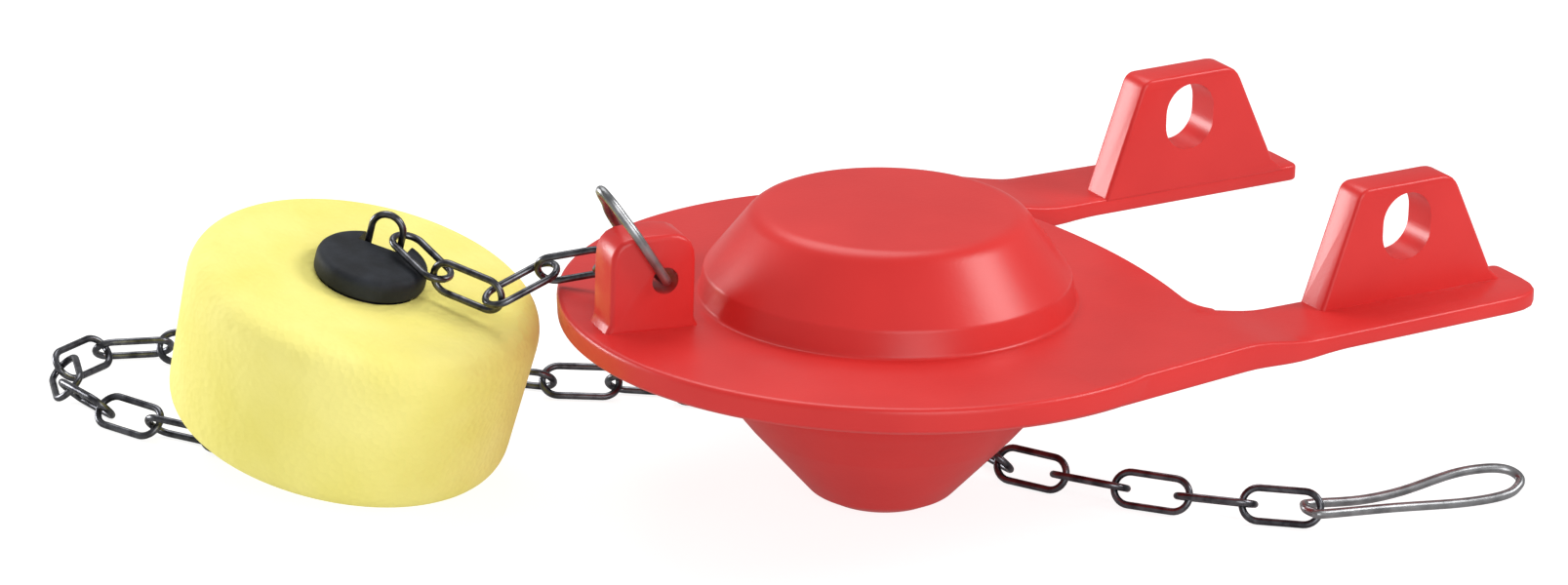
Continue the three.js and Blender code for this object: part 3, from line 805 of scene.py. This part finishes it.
def linkRun(name, body, linkNames):
    places = [linkPlace(nodes[link]) for link in linkNames]
    points = bpy.data.meshes.new(name)
    points.from_pydata([place for place, _ in places], [], [])
    turns = points.attributes.new("turn", "FLOAT_VECTOR", "POINT")
    turns.data.foreach_set("vector", [value for _, turn in places for value in turn])
    carrier = bpy.data.objects.new(name, points)
    bpy.context.scene.collection.objects.link(carrier)
    step = carrier.modifiers.new("links", "NODES")
    step.node_group = chainTree
    step[chainInputs["Link Length"]] = chain["length"] * mm
    step[chainInputs["Link Width"]] = chain["width"] * mm
    step[chainInputs["Wire"]] = chain["wire"] * mm
    step[chainInputs["Finish"]] = chainWire
    mesh = finishedMesh(carrier)
    carrier.modifiers.clear()
    carrier.data = mesh
    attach(carrier, body)
    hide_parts(*linkNames)


byBody = {}
for name in sorted(nodes):
    if name.startswith("chain_link_"):
        byBody.setdefault(nodes[name]["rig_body"], []).append(name)
for body, linkNames in byBody.items():
    linkRun("chainRun" if body == "flapper" else "tailLink" + linkNames[0][-2:], body, linkNames)
print("chain made:", {body: len(names) for body, names in byBody.items()})


# studio: a floor and surroundings that the camera sees white, and soft lamps; lengths in metres
studio = {
    "floorColour": "#9C9C9C", "floorSize": 6, "floorDrop": 0.00005, "aimHeight": 0.02,
    "floorGlow": {"seen": 0.86, "mirrored": 0.18, "cast": 0.53},
    "skyGlow": {"seen": 1.0, "mirrored": 0.38, "cast": 0.62},
    "lamps": [
        {"name": "keyLamp", "from": (0.75, -0.55, 0.75), "size": 0.5, "power": 6},
        {"name": "frontLamp", "from": (-0.25, -1.1, 0.4), "size": 0.8, "power": 5},
        {"name": "topLamp", "from": (0.1, 0.5, 1.0), "size": 0.8, "power": 5},
        {"name": "rimLamp", "from": (-0.55, 0.8, 0.12), "size": 0.45, "power": 7},
    ],
}


# a glow has one strength as the camera sees it, one as gloss mirrors it and one as it lights the object
def glowStrength(tree, glow):
    path = addNode(tree, "ShaderNodeLightPath").outputs
    mirrored = addNode(tree, "ShaderNodeMapRange", inputs={
        "Value": path["Is Glossy Ray"], "To Min": glow["cast"], "To Max": glow["mirrored"]})
    strength = addNode(tree, "ShaderNodeMapRange", inputs={
        "Value": path["Is Camera Ray"], "To Min": mirrored.outputs[0], "To Max": glow["seen"]})
    return strength.outputs[0]


def addFloor():
    half = studio["floorSize"] / 2
    corners = [(-half, -half, 0), (half, -half, 0), (half, half, 0), (-half, half, 0)]
    mesh = bpy.data.meshes.new("floor")
    mesh.from_pydata(corners, [], [(0, 1, 2, 3)])
    floor = bpy.data.objects.new("floor", mesh)
    floor.location.z = -studio["floorDrop"]
    bpy.context.scene.collection.objects.link(floor)
    material, tree = newMaterial("floorPaper")
    paper = addNode(tree, "ShaderNodeBsdfDiffuse", inputs={"Color": linearColour(studio["floorColour"])})
    light = addNode(tree, "ShaderNodeEmission", inputs={"Strength": glowStrength(tree, studio["floorGlow"])})
    both = addNode(tree, "ShaderNodeAddShader", inputs={0: paper.outputs[0], 1: light.outputs[0]})
    addNode(tree, "ShaderNodeOutputMaterial", inputs={"Surface": both.outputs[0]})
    floor.data.materials.append(material)


def addLamps():
    aim = Vector((flapperAxis.x, flapperAxis.y, studio["aimHeight"]))
    for lamp in studio["lamps"]:
        data = bpy.data.lights.new(lamp["name"], "AREA")
        data.shape = "DISK"
        data.size = lamp["size"]
        data.energy = lamp["power"]
        item = bpy.data.objects.new(lamp["name"], data)
        item.location = Vector(lamp["from"])
        item.rotation_euler = (item.location - aim).to_track_quat("Z", "Y").to_euler()
        bpy.context.scene.collection.objects.link(item)


def addWorld():
    world = bpy.data.worlds.new("studioWorld")
    world.use_nodes = True
    tree = world.node_tree
    tree.nodes.clear()
    sky = addNode(tree, "ShaderNodeBackground", inputs={"Strength": glowStrength(tree, studio["skyGlow"])})
    addNode(tree, "ShaderNodeOutputWorld", inputs={"Surface": sky.outputs[0]})
    bpy.context.scene.world = world


addFloor()
addLamps()
addWorld()
bpy.context.scene.view_settings.view_transform = "Standard"
print("studio made")
